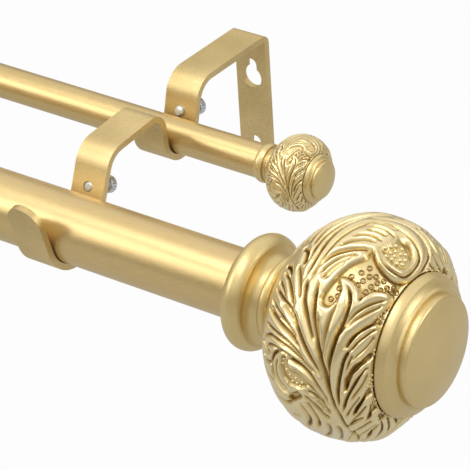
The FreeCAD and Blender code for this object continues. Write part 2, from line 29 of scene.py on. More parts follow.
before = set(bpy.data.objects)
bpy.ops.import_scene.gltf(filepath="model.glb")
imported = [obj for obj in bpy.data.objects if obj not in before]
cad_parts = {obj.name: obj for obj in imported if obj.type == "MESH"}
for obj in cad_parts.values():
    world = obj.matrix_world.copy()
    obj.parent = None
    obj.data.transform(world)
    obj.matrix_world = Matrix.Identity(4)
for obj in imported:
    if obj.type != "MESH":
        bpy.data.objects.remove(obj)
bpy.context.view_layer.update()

MM = 0.001

# Camera at the photograph's place: distance, direction and roll fitted to the poles,
# the bracket and the finials. Focal length and width are in the photograph's pixels.

FOCAL_LENGTH = 2800
IMAGE_WIDTH = 470
SENSOR_WIDTH = 36.0
CAMERA_PLACE = (0.583515, -0.767697, 0.524860)
CAMERA_RIGHT = (0.807397, 0.587387, -0.055564)
CAMERA_UP = (-0.265228, 0.445461, 0.855113)
CAMERA_BACK = (0.527033, -0.675679, 0.515455)


def link(item):
    bpy.context.scene.collection.objects.link(item)
    return item


camera_data = bpy.data.cameras.new("camera")
camera_data.sensor_width = SENSOR_WIDTH
camera_data.lens = SENSOR_WIDTH * FOCAL_LENGTH / IMAGE_WIDTH
camera = link(bpy.data.objects.new("camera", camera_data))
camera_turn = Matrix((CAMERA_RIGHT, CAMERA_UP, CAMERA_BACK)).transposed()
camera.matrix_world = Matrix.Translation(CAMERA_PLACE) @ camera_turn.to_4x4()
bpy.context.scene.camera = camera


# Materials

METALLIC = 0.85


def new_material(name):
    material = bpy.data.materials.new(name)
    material.use_nodes = True
    nodes = material.node_tree.nodes
    return material, nodes, material.node_tree.links, nodes["Principled BSDF"]


def feed(links, socket, value):
    """Sets the socket to a number, or links it to another node's output."""
    if isinstance(value, (int, float)):
        socket.default_value = value
    else:
        links.new(value, socket)


def calculate(nodes, links, operation, *values):
    node = nodes.new("ShaderNodeMath")
    node.operation = operation
    for socket, value in zip(node.inputs, values):
        feed(links, socket, value)
    return node.outputs["Value"]


def attribute(nodes, name):
    node = nodes.new("ShaderNodeAttribute")
    node.attribute_name = name
    return node.outputs["Fac"]


def noise(nodes, links, scale, detail, stretch=None):
    source = nodes.new("ShaderNodeTexCoord").outputs["Object"]
    if stretch:
        mapping = nodes.new("ShaderNodeMapping")
        mapping.inputs["Scale"].default_value = stretch
        links.new(source, mapping.inputs["Vector"])
        source = mapping.outputs["Vector"]
    texture = nodes.new("ShaderNodeTexNoise")
    texture.inputs["Scale"].default_value = scale
    texture.inputs["Detail"].default_value = detail
    links.new(source, texture.inputs["Vector"])
    return texture.outputs["Fac"]


def cells(nodes, links, scale):
    texture = nodes.new("ShaderNodeTexVoronoi")
    texture.inputs["Scale"].default_value = scale
    coords = nodes.new("ShaderNodeTexCoord")
    links.new(coords.outputs["Object"], texture.inputs["Vector"])
    return texture.outputs["Distance"]


def ramp(nodes, links, source, stops):
    colours = nodes.new("ShaderNodeValToRGB")
    elements = colours.color_ramp.elements
    while len(elements) < len(stops):
        elements.new(0.5)
    for element, (position, colour) in zip(elements, stops):
        element.position = position
        element.color = (*colour, 1)
    links.new(source, colours.inputs["Fac"])
    return colours.outputs["Color"]


def spread(nodes, links, source, low, high):
    node = nodes.new("ShaderNodeMapRange")
    node.inputs["To Min"].default_value = low
    node.inputs["To Max"].default_value = high
    links.new(source, node.inputs["Value"])
    return node.outputs["Result"]


def bump(nodes, links, height, strength, distance, under=None):
    """The normal of a bumped surface, on top of another bump if one is given."""
    node = nodes.new("ShaderNodeBump")
    node.inputs["Distance"].default_value = distance
    feed(links, node.inputs["Strength"], strength)
    links.new(height, node.inputs["Height"])
    if under:
        links.new(under, node.inputs["Normal"])
    return node.outputs["Normal"]


def satin_gold(name, light, dark, rough, stretch=None):
    """Gold lacquer: slow colour drift, powder-coat speckle, faint orange peel."""
    material, nodes, links, shader = new_material(name)
    drift = noise(nodes, links, 30, 3, stretch)
    grain = noise(nodes, links, 1800, 2, stretch)
    speckle = calculate(nodes, links, "MULTIPLY_ADD", grain, 0.6, drift)
    tone = ramp(nodes, links, speckle, [(0.58, dark), (1.0, light)])
    gloss = spread(nodes, links, grain, rough - 0.05, rough + 0.07)
    links.new(tone, shader.inputs["Base Color"])
    links.new(gloss, shader.inputs["Roughness"])
    links.new(bump(nodes, links, grain, 0.1, 0.0001), shader.inputs["Normal"])
    shader.inputs["Metallic"].default_value = METALLIC
    shader.inputs["Coat Weight"].default_value = 0.12
    shader.inputs["Coat Roughness"].default_value = 0.3
    return material


def carved_gold(name):
    """Glossy gold with painted shade (dark brown) in the cuts and painted highlight (pale gold) on
    the ridges, and a stippled ground.
    """
    material, nodes, links, shader = new_material(name)
    painted_shading = attribute(nodes, "painted_shading")
    ground = attribute(nodes, "ground")
    drift = noise(nodes, links, 140, 4)
    grain = noise(nodes, links, 900, 3)
    # Colour ramp from painted shade (dark brown) in the hollows to painted highlight (pale gold) on
    # the ridges, with a little random drift.
    tone = ramp(nodes, links, calculate(nodes, links, "MULTIPLY_ADD", drift, 0.16, painted_shading), [
        (0.12, (0.11, 0.06, 0.014)), (0.4, (0.36, 0.22, 0.055)),
        (0.62, (0.69, 0.52, 0.21)), (0.84, (0.85, 0.71, 0.4))])
    soft = bump(nodes, links, grain, 0.1, 0.0002)
    stipple = bump(nodes, links, cells(nodes, links, 1500), ground, 0.0004, soft)
    links.new(tone, shader.inputs["Base Color"])
    links.new(spread(nodes, links, painted_shading, 0.5, 0.2), shader.inputs["Roughness"])
    links.new(stipple, shader.inputs["Normal"])
    shader.inputs["Metallic"].default_value = METALLIC
    shader.inputs["Coat Weight"].default_value = 0.2
    shader.inputs["Coat Roughness"].default_value = 0.2
    return material


def zinc(name):
    """Bright zinc plating with a fine crystalline grain."""
    material, nodes, links, shader = new_material(name)
    grain = noise(nodes, links, 2500, 3)
    tone = ramp(nodes, links, grain, [(0.3, (0.56, 0.6, 0.66)), (0.7, (0.78, 0.83, 0.9))])
    links.new(tone, shader.inputs["Base Color"])
    links.new(spread(nodes, links, grain, 0.16, 0.28), shader.inputs["Roughness"])
    links.new(bump(nodes, links, grain, 0.1, 0.0001), shader.inputs["Normal"])
    shader.inputs["Metallic"].default_value = 0.8
    return material


def moulded_black(name):
    """Black moulded plastic with a fine eroded texture."""
    material, nodes, links, shader = new_material(name)
    grain = noise(nodes, links, 1500, 3)
    tone = ramp(nodes, links, grain, [(0.3, (0.02, 0.02, 0.02)), (0.7, (0.05, 0.05, 0.05))])
    links.new(tone, shader.inputs["Base Color"])
    links.new(spread(nodes, links, grain, 0.45, 0.6), shader.inputs["Roughness"])
    links.new(bump(nodes, links, grain, 0.2, 0.0001), shader.inputs["Normal"])
    return material


STRIP_GOLD = satin_gold("strip_gold", (0.77, 0.59, 0.28), (0.54, 0.4, 0.16), 0.42)
TUBE_GOLD = satin_gold("tube_gold", (0.71, 0.53, 0.245), (0.61, 0.45, 0.19), 0.33, (0.15, 1, 1))
TURNED_GOLD = satin_gold("turned_gold", (0.77, 0.605, 0.288), (0.68, 0.525, 0.235), 0.36)
LEAF_GOLD = carved_gold("leaf_gold")
BRIGHT_ZINC = zinc("bright_zinc")
BLACK_PLUG = moulded_black("black_plug")

# The word in a node's name that gives its material. The others, collars and caps, are
# turned_gold.

FINISHES = {"bracket": STRIP_GOLD, "tube": TUBE_GOLD, "screw": BRIGHT_ZINC, "stud": BRIGHT_ZINC,
            "plug": BLACK_PLUG, "ball": LEAF_GOLD}

for name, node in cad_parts.items():
    words = [word for word in FINISHES if word in name]
    for slot in node.material_slots:
        slot.material = FINISHES[words[0]] if words else TURNED_GOLD


# The carved balls. The leaf pattern is laid out on the unrolled ball: s is the arc
# length from the collar in millimetres of the large ball, a the angle round the pole
# in degrees, 0 towards the room and 90 at the top. It repeats after half a turn.
# LEAF_SPAN is the whole arc, over the ball's shoulder to the cap's ring.

LEAF_SPAN = 72.08

# Creases between the leaf strands: depth, half-widths in millimetres at the start, the
# middle and the end, and the points of the line.

CREASES = [
    # main rib and the tongue beside it
    (0.85, (0.4, 0.9, 0.35), [(43.9, 53), (44.6, 47), (45.4, 42), (46.4, 36), (47.6, 30.5),
        (49.2, 25), (51, 19.5), (52.6, 14), (53.8, 9), (54.7, 3), (55.6, -5), (56.6, -12),
        (57.4, -18)]),
    (0.4, (0.8, 1.7, 0.8), [(47.6, 38), (48.6, 31), (50, 25), (51.4, 19.5), (52.8, 13)]),
    (0.8, (0.4, 0.7, 0.3), [(39.8, 52), (40.3, 47), (41.3, 42), (42.6, 38.4), (44.2, 34.5),
        (45.7, 30.5), (47.4, 26), (49.4, 20.6)]),
    (0.85, (0.3, 0.6, 0.3), [(37.8, 35.6), (39.6, 32.6), (41.4, 29), (43.2, 25.2), (45, 21.6),
        (47, 18), (49.2, 14.2), (51.2, 10.4), (52.8, 6)]),
    (0.8, (0.35, 0.5, 0.5), [(57.4, -12), (57.7, -20), (57.9, -27), (57.7, -34), (57, -42),
        (55.8, -52), (54.4, -62)]),
    # middle stem and its hook
    (0.85, (0.35, 0.75, 0.35), [(53.3, 55.4), (54.8, 53.2), (56.1, 49.8), (56.7, 45.5),
        (56.8, 40.5), (56.4, 35), (55.9, 30), (55.5, 24), (55.1, 17), (55, 10), (55.3, 3),
        (55.9, -4), (56.7, -11), (57.5, -18)]),
    (0.4, (0.25, 0.35, 0.3), [(52.8, 47), (52.4, 42), (52.2, 36), (52.2, 29), (52.4, 22),
        (52.8, 15)]),
    # right leaves
    (0.55, (0.3, 0.6, 0.3), [(56.2, 28), (57, 33), (58, 38), (59.2, 43), (60.8, 47.5), (62.8, 52),
        (65.4, 56.5), (68.5, 60)]),
    (0.45, (0.3, 0.6, 0.35), [(57.8, 33.4), (59.4, 38.6), (61.3, 43.2), (63.4, 47.8), (65.8, 52.4),
        (68, 56)]),
    (0.85, (0.3, 0.65, 0.35), [(61.4, 24.5), (60.4, 21), (59.6, 17), (59.1, 12), (58.6, 6),
        (58.3, 0), (58.1, -7), (58, -14)]),
    (0.6, (0.25, 0.4, 0.25), [(60.6, 21.6), (62, 25.5), (63.5, 30), (65.5, 34), (67.7, 37.4),
        (70.2, 39.8)]),
    (0.5, (0.3, 0.55, 0.4), [(62.6, 22), (61.6, 17.5), (60.8, 12.5), (60.3, 7.5), (60, 2)]),
    (0.25, (0.3, 0.5, 0.3), [(62, 16), (64, 21), (66.4, 25.4), (68.6, 30.6), (70, 36)]),
    (0.7, (0.35, 0.5, 0.25), [(58.9, -17), (59.8, -12), (60.9, -7), (62.2, -2.5), (63.6, 1.8),
        (65, 5.6), (66.8, 9), (68.6, 11.4), (70.2, 12.6)]),
    (0.3, (0.3, 0.5, 0.3), [(62, -9), (64, -4.6), (66.2, -0.6), (68.4, 4), (70, 9)]),
    (0.4, (0.3, 0.5, 0.3), [(59.4, -21), (61.6, -15.6), (64, -11), (66, -7)]),
    (0.35, (0.3, 0.5, 0.3), [(60, -27), (62.6, -23.4), (65.6, -19.6), (68, -17.4)]),
    (0.6, (0.35, 0.5, 0.4), [(58.6, -30.6), (60.2, -28), (62.6, -26.6), (65, -26.4)]),
    (0.5, (0.35, 0.5, 0.4), [(58.4, -37), (61, -35.6), (64, -34.6), (67, -34.6)]),
    (0.5, (0.35, 0.5, 0.4), [(58.4, -46), (61, -42.6), (64, -41.6), (67.4, -41.8)]),
    (0.6, (0.35, 0.6, 0.4), [(60.2, -51), (62, -47), (65, -45), (68, -44.6)]),
    # leaflets on the collar's side of the main rib
    (0.9, (0.35, 0.6, 0.3), [(25, 58.2), (27.4, 57.4), (29.6, 54.6), (31.4, 50.8)]),
    (0.75, (0.35, 0.5, 0.3), [(25.6, 54), (28.8, 51.6), (31.4, 48.8), (33.6, 45.6), (35.6, 42),
        (37, 38.8), (38.2, 35.8)]),
    (0.65, (0.4, 0.5, 0.3), [(25.4, 48.4), (28.4, 45.4), (30.6, 42.6), (32.8, 40)]),
    (0.8, (0.4, 0.55, 0.3), [(24.8, 43.6), (28.4, 41.4), (31, 39.4), (34, 37.6), (36.8, 35.8),
        (39, 33)]),
    (0.5, (0.25, 0.35, 0.25), [(31.4, 37), (35, 34.9), (38.4, 31.8), (41.4, 27.6)]),
    (0.85, (0.4, 0.75, 0.4), [(24.4, 36.8), (28.2, 33.8), (31, 31.6), (34, 29.7), (37, 27.5),
        (40, 24.8), (42.6, 22)]),
    (0.5, (0.3, 0.5, 0.3), [(24.8, 33.4), (27.6, 31), (30.4, 29.6), (33, 28.6)]),
    (0.85, (0.5, 0.7, 0.35), [(23.8, 31), (28, 29), (31, 27.6), (34, 26.2), (37, 24.7), (40, 22.6),
        (42.5, 20), (44.8, 16.8)]),
    (0.75, (0.4, 0.5, 0.3), [(23.6, 22.6), (28, 21.5), (32, 20.8), (35, 20.2), (38, 19.2),
        (41, 17.6), (44, 15.2), (46.6, 13)]),
    (0.6, (0.4, 0.5, 0.3), [(24.4, 14.4), (28.6, 17.2), (32, 17.4), (36, 17), (40, 15.8),
        (43.4, 13.6), (46.4, 11.6), (49.6, 8.8), (51.8, 6.2)]),
    (0.5, (0.3, 0.35, 0.25), [(26.6, 8.6), (28.6, 11.2), (31, 12.6), (34, 13), (38, 12.8),
        (42, 11.6), (45.4, 10.2), (48.6, 7.8), (51.6, 4)]),
    (0.85, (0.5, 0.85, 0.3), [(39.4, 10.6), (42, 10), (45, 8.6), (47.8, 6.2), (50, 3.4), (52, -0.6),
        (53.6, -5), (55.2, -10.6)]),
    (0.4, (0.25, 0.3, 0.25), [(40.6, 6.2), (44, 5.2), (47.4, 2.6), (50.4, -1.2), (53, -6),
        (55, -11)]),
    (0.6, (0.35, 0.45, 0.3), [(40.8, 4.6), (44, 3.2), (47, 0.6), (49.6, -2.4), (52, -6.6),
        (54.4, -12)]),
    (0.7, (0.4, 0.6, 0.4), [(47.2, -3.4), (49.6, -5.4), (51.6, -8.6), (53.6, -12.8), (55.2, -17)]),
    (0.5, (0.3, 0.5, 0.3), [(50.2, -8.8), (51.8, -11.8), (53.2, -14.8)]),
    (0.65, (0.3, 0.5, 0.4), [(46, -7), (48.4, -9.8), (50.6, -13.8), (52.6, -18), (54.6, -20.4)]),
    # lobes under the small volute
    (0.45, (0.4, 0.9, 0.5), [(46.6, -10.6), (48, -15.6), (48.8, -21), (48.8, -26.4), (47.8, -32)]),
    (0.5, (0.4, 1, 0.5), [(43.4, -13.4), (44.8, -18.4), (45.6, -23), (45, -28), (43.6, -33),
        (41.4, -39)]),
    (0.4, (0.5, 1.1, 0.6), [(52.6, -24), (51.9, -31), (50.2, -38), (48, -44), (45, -50)]),
    (0.45, (0.5, 1, 0.6), [(55.6, -26), (55, -34), (53.2, -42), (51, -49), (48.6, -56)]),
    # curled rim of the small volute
    (0.75, (0.4, 0.9, 0.5), [(36.6, 12.6), (34, 10.6), (32, 6.6), (31.2, 1.6), (31.8, -3.6),
        (33.8, -8), (36.8, -10.8), (40.2, -11.4), (42.8, -9.6)]),
    (0.35, (0.3, 0.5, 0.3), [(35.2, 8.4), (34.2, 4.6), (34, 0.6), (35, -3.4), (37.2, -6.6),
        (40.4, -7.6)]),
    # lobes towards the collar
    (0.45, (0.5, 1, 0.6), [(30.8, 7.6), (28, 7), (25, 8), (22, 10)]),
    (0.45, (0.5, 1, 0.6), [(31.6, 2), (28.4, 0), (25.4, -0.6), (22, 1)]),
    (0.45, (0.5, 1, 0.6), [(32, -9), (29, -10), (25.8, -10), (22, -8)]),
    (0.45, (0.5, 1.1, 0.6), [(40.6, -17), (37, -19.4), (32, -20.6), (27, -20), (22, -18)]),
    (0.45, (0.5, 1.1, 0.6), [(42.6, -25), (38, -29), (33, -31), (28, -31), (22.4, -29)]),
    (0.45, (0.5, 1.1, 0.6), [(42, -35), (38, -39.6), (33, -42), (28, -42.6), (22.6, -41)]),
    (0.45, (0.5, 1.1, 0.6), [(43.4, -44), (39, -49.6), (34, -53), (28.6, -54.6), (23, -54)]),
    # strands over the top
    (0.9, (0.35, 0.65, 0.4), [(29.6, 69.6), (31.8, 68.8), (33.2, 66), (34, 62.4), (34.5, 59)]),
    (0.6, (0.3, 0.4, 0.25), [(32.6, 58.6), (34.6, 54.8), (36.4, 50.8), (38.2, 46), (39.8, 41)]),
    (0.75, (0.25, 0.65, 0.6), [(38.2, 51), (38.4, 58), (38.2, 64), (38, 70), (37.7, 77), (37.9, 84),
        (38.5, 91), (39.5, 98), (41, 105), (43, 112), (45.6, 119)]),
    (0.8, (0.25, 0.75, 0.6), [(35.8, 57), (35.3, 65), (35, 73), (35.1, 81), (35.8, 89), (37, 98),
        (39, 107), (41.6, 116), (44, 123)]),
    (0.8, (0.3, 0.85, 0.6), [(33.4, 72), (32.4, 80), (32.4, 89), (33.4, 98), (35.4, 108),
        (38.2, 118)]),
    (0.85, (0.3, 0.9, 0.6), [(30.6, 73), (29, 81), (28.8, 91), (29.8, 102), (32, 113), (35, 123)]),
    (0.85, (0.3, 0.9, 0.6), [(27.4, 72), (25.6, 82), (25.2, 93), (26, 105), (28.2, 117)]),
    (0.8, (0.3, 0.9, 0.6), [(23.6, 66), (22, 78), (21.6, 90), (22, 103), (23.4, 117)]),
    (0.45, (0.25, 0.35, 0.3), [(40.4, 51), (40.7, 58), (40.7, 65), (40.8, 72), (41.3, 80),
        (42.4, 88), (43.8, 95), (45.4, 101)]),
    (0.8, (0.35, 0.85, 0.5), [(41.3, 60), (42.2, 65), (43.6, 69), (45.6, 72.5), (48, 75.2),
        (50.6, 77.4), (53.4, 80)]),
    (0.55, (0.25, 0.45, 0.3), [(42.6, 56), (43.7, 61), (45.2, 66), (47.2, 70.2), (49.4, 72.6),
        (51.6, 73.6)]),
    (0.5, (0.25, 0.35, 0.25), [(44.2, 54), (45, 59), (46.2, 63.6), (47.8, 67.8), (50, 70.8)]),
    (0.45, (0.25, 0.35, 0.25), [(45.4, 54), (46.2, 59.4), (47.4, 63.6), (49, 67.2)]),
    (0.6, (0.3, 0.75, 0.35), [(43, 74), (45, 79), (47.2, 82.4), (50, 84.8), (53.4, 85.4)]),
    (0.5, (0.3, 0.5, 0.3), [(44.4, 83), (46.4, 86.4), (48.6, 88.2), (51.6, 88.8), (54.6, 87.8)]),
    (0.35, (0.3, 0.6, 0.3), [(46.4, 91.4), (49, 93.6), (51.8, 93.8), (54, 92.6)]),
    (0.45, (0.25, 0.4, 0.45), [(44.6, 93), (47.2, 97.2), (50.6, 98.4), (53.2, 97.6), (55.8, 96.2)]),
    (0.3, (0.25, 0.4, 0.3), [(44.8, 99), (47.6, 101.6), (51, 102.2), (54.6, 101.6)]),
    # large volute
    (0.75, (0.3, 0.55, 0.45), [(48, 104), (51, 104.7), (54, 105.1), (57, 105.6), (60, 106),
        (62.6, 105.6), (64.6, 104.4), (66.6, 101.8), (68, 98.4), (69, 94), (69.4, 89), (68.9, 84.4),
        (67.4, 80.8), (65, 78.4), (62.2, 77), (59.6, 77.2), (57.4, 79)]),
    (0.95, (0.4, 0.8, 0.6), [(53.2, 80.8), (54.8, 78), (56.6, 75.4), (58.8, 73.2), (61.4, 72),
        (64, 72.2), (66.8, 73.8), (69.4, 76.8), (71.6, 81.6)]),
    (0.8, (0.3, 0.5, 0.45), [(43.4, 102), (45.6, 106.6), (48.4, 110.4), (51.4, 113), (55, 114.8),
        (58.6, 115.8), (62, 116), (65, 114.8), (67.6, 112), (69.6, 108), (71.2, 102.6), (72, 97)]),
    (0.6, (0.3, 0.45, 0.4), [(46.6, 113), (50, 116.6), (54, 118.4), (58, 119.8), (61.6, 122),
        (64.6, 125.4), (67, 130), (68.8, 136), (69.8, 143)]),
    (0.6, (0.3, 0.45, 0.4), [(48, 120), (52, 122), (56, 123.8), (59.4, 127), (62, 131.6),
        (64, 137.4)]),
    (0.6, (0.3, 0.45, 0.4), [(64.6, 118), (67.4, 121), (69.6, 125.4), (71, 130.6), (71.8, 137)]),
    (0.5, (0.3, 0.45, 0.4), [(46.4, 125), (50, 127.4), (53.6, 130.4), (56.4, 134.6)]),
    (0.6, (0.3, 0.5, 0.4), [(69, 113), (70.6, 117), (71.6, 122)]),
]

# Sunken ground between the leaves: height of the floor, slope in millimetres, outline.

POCKETS = [
    (0.18, 0.6, [(46.6, 48), (46.7, 44.6), (47.8, 42.2), (49.6, 41.5), (51.2, 43), (52.1, 46.4),
        (52.5, 50.4), (51.8, 54), (50.4, 56), (50.2, 58.4), (52.4, 58.9), (55, 57.9), (57.3, 55.3),
        (58.9, 50.4), (60, 54.6), (61.4, 58.2), (63.4, 61.2), (66.4, 63.7), (69.4, 65.5),
        (72.08, 66.8), (72.08, 84), (70.4, 79.4), (68, 75.8), (65, 73.2), (62, 72.2), (59, 73),
        (56.8, 75), (55, 77.6), (53.6, 79.6), (52.6, 78), (53.2, 74.4), (51.6, 70.4), (49.9, 66),
        (48.8, 61), (47.8, 55)]),
    (0.02, 0.5, [(59.5, 24.5), (59.7, 28), (60.6, 31.6), (62, 35), (63.6, 38.6), (65.6, 42.6),
        (67.6, 47), (69.2, 51.6), (70.6, 56.6), (71.6, 61.4), (72.08, 62.4), (72.08, 44.4),
        (70, 43.2), (67.6, 41.4), (65.2, 38.4), (63, 34.4), (61.6, 30.4), (60.6, 26.4),
        (60, 24.2)]),
    (-0.05, 0.5, [(60, -1), (60, 4), (61, 8.8), (62.4, 13), (64.2, 16.4), (66.2, 19.4),
        (68.4, 21.6), (70.4, 22.6), (72.08, 22.4), (72.08, 19.6), (70.2, 17.8), (68, 16), (66, 14),
        (64.3, 11.4), (63, 8.2), (62.3, 4), (61.4, -0.6), (60.6, -2)]),
    (0.02, 0.5, [(61.6, -20), (62.8, -16), (64.6, -12.6), (66.2, -9.6), (68, -6.8), (70, -5),
        (72.08, -4), (72.08, -10.8), (70, -11.2), (67.6, -12.2), (65.4, -14.8), (63.6, -18.4),
        (62.2, -21.5)]),
    (0.02, 0.5, [(64.4, -31), (65.6, -28.6), (67, -25.6), (68.4, -22.4), (69.4, -19.5),
        (70.6, -18.6), (72.08, -19), (72.08, -29), (70, -28.8), (68, -29.2), (66.4, -31.2)]),
    (0.02, 0.5, [(68.2, -42), (69.2, -38.6), (70.2, -35.6), (72.08, -35.4), (72.08, -46),
        (70.8, -45.4), (69.2, -44)]),
    (0.3, 0.6, [(36, 4.6), (37.2, 0.8), (38.2, -1.8), (40.6, -4.1), (43.4, -4.8), (46, -3.4),
        (47.6, -1.6), (46.4, 0.6), (43.8, 3), (41.2, 4.4), (40, 6.4), (39.4, 10), (37.6, 11),
        (36.2, 9)]),
    (0.1, 0.8, [(38.2, -15), (39.8, -11.4), (41.6, -9), (43.6, -7), (45, -9), (44.2, -11.4),
        (42.6, -14), (40.6, -16.6), (38.8, -17.6)]),
    (0.22, 3.0, [(55.8, 99), (57.6, 102.6), (60, 104), (62.4, 103.2), (64.6, 101), (66.6, 97),
        (67.6, 92), (67.2, 87), (65.4, 82.6), (62.4, 80), (59.4, 79.8), (57, 81), (55, 83.4),
        (55.6, 88), (56.2, 94)]),
    (-0.05, 0.8, [(57.4, 99), (58.4, 102), (60.2, 102.9), (62, 101.6), (63.4, 98.4), (63.9, 95.4),
        (62, 96), (60, 97.2), (58.4, 98)]),
    (-0.7, 1.6, [(57.6, -33.4), (58.9, -37), (59, -42), (58.6, -48), (57.4, -53), (55, -50),
        (55, -45), (56, -39.6)]),
]

# Fine raised edges along the leaves.

EDGES = [
    (0.12, 0.45, [(58.4, 31), (58.2, 27), (58.7, 24), (60, 22.9), (61.2, 24.6), (62.3, 28.6),
        (64, 32.8), (66.2, 36.8), (68.8, 40), (71.6, 41.8)]),
    (0.12, 0.4, [(71.6, 41), (71.2, 34), (69.9, 27), (68.2, 22.4), (66, 18.8)]),
    (0.12, 0.4, [(59.8, -4.6), (60.6, -3), (61.8, 0), (62.8, 4.6), (64, 8.8), (65.8, 12),
        (68, 14.6), (71.4, 18.8)]),
    (0.14, 0.5, [(61.4, -23), (63.6, -19), (66.2, -14.8), (69, -12.7), (72, -12)]),
    (0.14, 0.5, [(66, -32.4), (68, -30.6), (70, -30.2), (72, -31)]),
    (0.12, 0.5, [(54.2, 81.8), (55.8, 78.8), (57.8, 76.2), (60.2, 74.6), (63, 74.2), (66, 75.6),
        (68.8, 78.6), (70.6, 83), (71.3, 89)]),
    (0.12, 0.35, [(47, 49), (46.1, 46), (46.4, 42.8), (48, 40.8), (50.4, 40.6)]),
    (0.12, 0.35, [(50.6, 57.2), (53, 56.7), (55.4, 55.4), (57.3, 52.2), (58.2, 48)]),
    (0.1, 0.35, [(52.8, 52), (53.6, 46), (53.8, 38), (53.8, 28)]),
]

RING_DOTS = [
    (49.7, 46.6), (51.4, 49.2), (50.5, 53.2), (52.6, 61.6), (54.6, 66), (56.6, 62.2), (55.8, 58.8),
    (59, 57.4), (56, 70.6), (57.4, 66.2), (59.2, 68.4), (60.9, 65.6), (59.6, 61.6),
    (61.6, 59.6), (63, 63.2), (64.5, 67.2), (67.2, 70.8), (62.3, 69.2), (66.2, 64.4),
    (68.4, 67), (70.3, 70.6),
]
BERRIES = [
    (59.3, 95.4), (60.3, 91.9), (58.8, 90.4), (61.8, 88.4), (59.8, 87.4), (63, 91.8), (59.6, 84.2),
    (56.2, 86.4), (57.8, 82.8), (58, 87), (61.6, 94.6), (56.8, 90), (61.8, 84.8), (63.2, 87.6),
    (57.4, 93.4),
]
BEADS = [
    (37, 8), (36.9, 5.2), (38.8, 2.6), (40.2, 0.4), (42.6, -0.2), (41.1, -2.8), (43.1, -3),
    (39.9, -3.6), (39, 9.8), (45, -1.5), (44.4, -3.6),
]
STIPPLES = [
    (66.6, 45.8), (68, 47.6), (69, 50.2), (69.8, 47.4), (70.6, 50.8), (70.4, 53.6), (71.4, 48.8),
    (71.4, 56), (68.4, 44.6), (71.5, 45.8), (71.4, 25), (71.6, 21.8), (70.8, 3.2), (71.6, 1.2),
    (70.2, 0.4), (71.2, -1.8), (69.6, -1.8), (70.6, -3.8), (71.7, -4.6), (71.7, 5.4),
    (70.6, -19.4), (71.6, -18.2), (69.4, -21), (70.7, -22.2), (71.7, -21.8), (71, -35.6),
    (70.4, -37.6), (71.6, -38.8), (69, -37.2), (71.6, -53), (70.4, -54.2), (71.7, 108.6),
    (71, 113.6), (71.6, 117), (70.6, 110.4),
]

# The balls, in millimetres from the collar's face: where the ball starts and ends, its
# thickest part and the radius there, its half lengths, the depth of the carving, the
# strength of the painted shade in the hollows and painted highlight on the ridges, the bore,
# and the radius of the leaf tips at the cap's ring. The axis is the pole's place in y and z.

BALLS = {
    "front": {"axis": (-121.5, 12.0), "start": 16.5, "end": 66.0, "centre": 45.2, "radius": 39.2,
              "back": 29.9, "front": 25.3, "relief": 3.2, "painted_shading": 1.0, "bore": 3.1, "rim": 25.34},
    "rear": {"axis": (-57.3, 19.1), "start": 5.2, "end": 22.9, "centre": 14.9, "radius": 14.4,
             "back": 10.6, "front": 9.5, "relief": 1.0, "painted_shading": 0.6, "bore": 1.6, "rim": 9.22},
}

# Where each collar's face is along the poles.

SEATS = {
    ("right", "front"): 85.1,
    ("right", "rear"): 45.3,
    ("left", "front"): -558.0,
    ("left", "rear"): -558.0,
}

# Rows and columns of each carving's mesh, the least depth of the creases that it has
# and how much wider than the large ball's they are.

CARVINGS = {"front": ((160, 560), 0, 1), "rear": ((112, 390), 0.38, 1.2)}

# Heights, 0 at the ground and 1 at the depth's full measure: the leaves' middle, how far
# they fall to a crease and within how many millimetres, and a crease of depth 1.

LEAF_HEIGHT = 0.9
LEAF_FALL = 0.3
FALL_WIDTH = 1.2
CREASE_DEPTH = 0.85
LOWEST = -0.7
TIP_HEIGHT = 0.75

# Places along the arc, in millimetres of the large ball: the neck's sparse rows end, the
# plain neck ends, the stippled ground starts, and the leaf tips start.

SPARSE_END = 19
NECK_END = 20
GROUND_START = 44
TIPS_START = 70.4

# The shoulder's curve from the ball's end to the cap's ring, on the large ball.

SHOULDER = 1.4
SHOULDER_CORNER = 0.05
LIP = 1.0

# A distance that lies beyond the reach of every crease and edge.

FAR = 9.0


def growth(ball):
    """The ball's size beside the large one."""
    return ball["radius"] / BALLS["front"]["radius"]


def ball_outline(ball, x):
    """Radius over the leaves at x from the collar's face."""
    off = x - ball["centre"]
    back_share = np.clip(1 - (off / ball["back"]) ** 2, 0, 1) ** 0.5
    front_share = np.clip(1 - np.abs(off / ball["front"]) ** 3, 0, 1) ** (1 / 3)
    return ball["radius"] * np.where(off < 0, back_share, front_share)


def ball_rows(ball, shares):
    """x and radius at shares of the arc length, over the shoulder to the cap's ring."""
    bend = ball["end"] - SHOULDER * growth(ball)
    x = np.linspace(ball["start"], bend, 6000)
    r = ball_outline(ball, x)
    slope = (r[-1] - r[-2]) / (x[-1] - x[-2])
    last = ball["end"] + LIP * growth(ball)
    run = last - SHOULDER_CORNER - bend
    t = np.linspace(0, 1, 800)[1:]
    x_curve = (1 - t) ** 2 * bend + 2 * t * (1 - t) * (bend + run) + t * t * last
    r_curve = (1 - t) ** 2 * r[-1] + 2 * t * (1 - t) * (r[-1] + slope * run) + t * t * ball["rim"]
    x = np.concatenate([x, x_curve])
    r = np.concatenate([r, r_curve])
    arc = np.concatenate([[0], np.cumsum(np.hypot(np.diff(x), np.diff(r)))])
    return np.interp(arc[-1] * shares, arc, x), np.interp(arc[-1] * shares, arc, r)


def smooth_path(points, steps=7):
    """Catmull-Rom curve through the points."""
    points = np.array(points, float)
    padded = np.vstack([2 * points[0] - points[1], points, 2 * points[-1] - points[-2]])
    out = []
    for number in range(len(points) - 1):
        p0, p1, p2, p3 = padded[number:number + 4]
        for t in np.linspace(0, 1, steps, endpoint=False):
            out.append(0.5 * (2 * p1 + (p2 - p0) * t + (2 * p0 - 5 * p1 + 4 * p2 - p3) * t ** 2
                              + (3 * p1 - p0 - 3 * p2 + p3) * t ** 3))
    out.append(points[-1])
    return np.array(out)


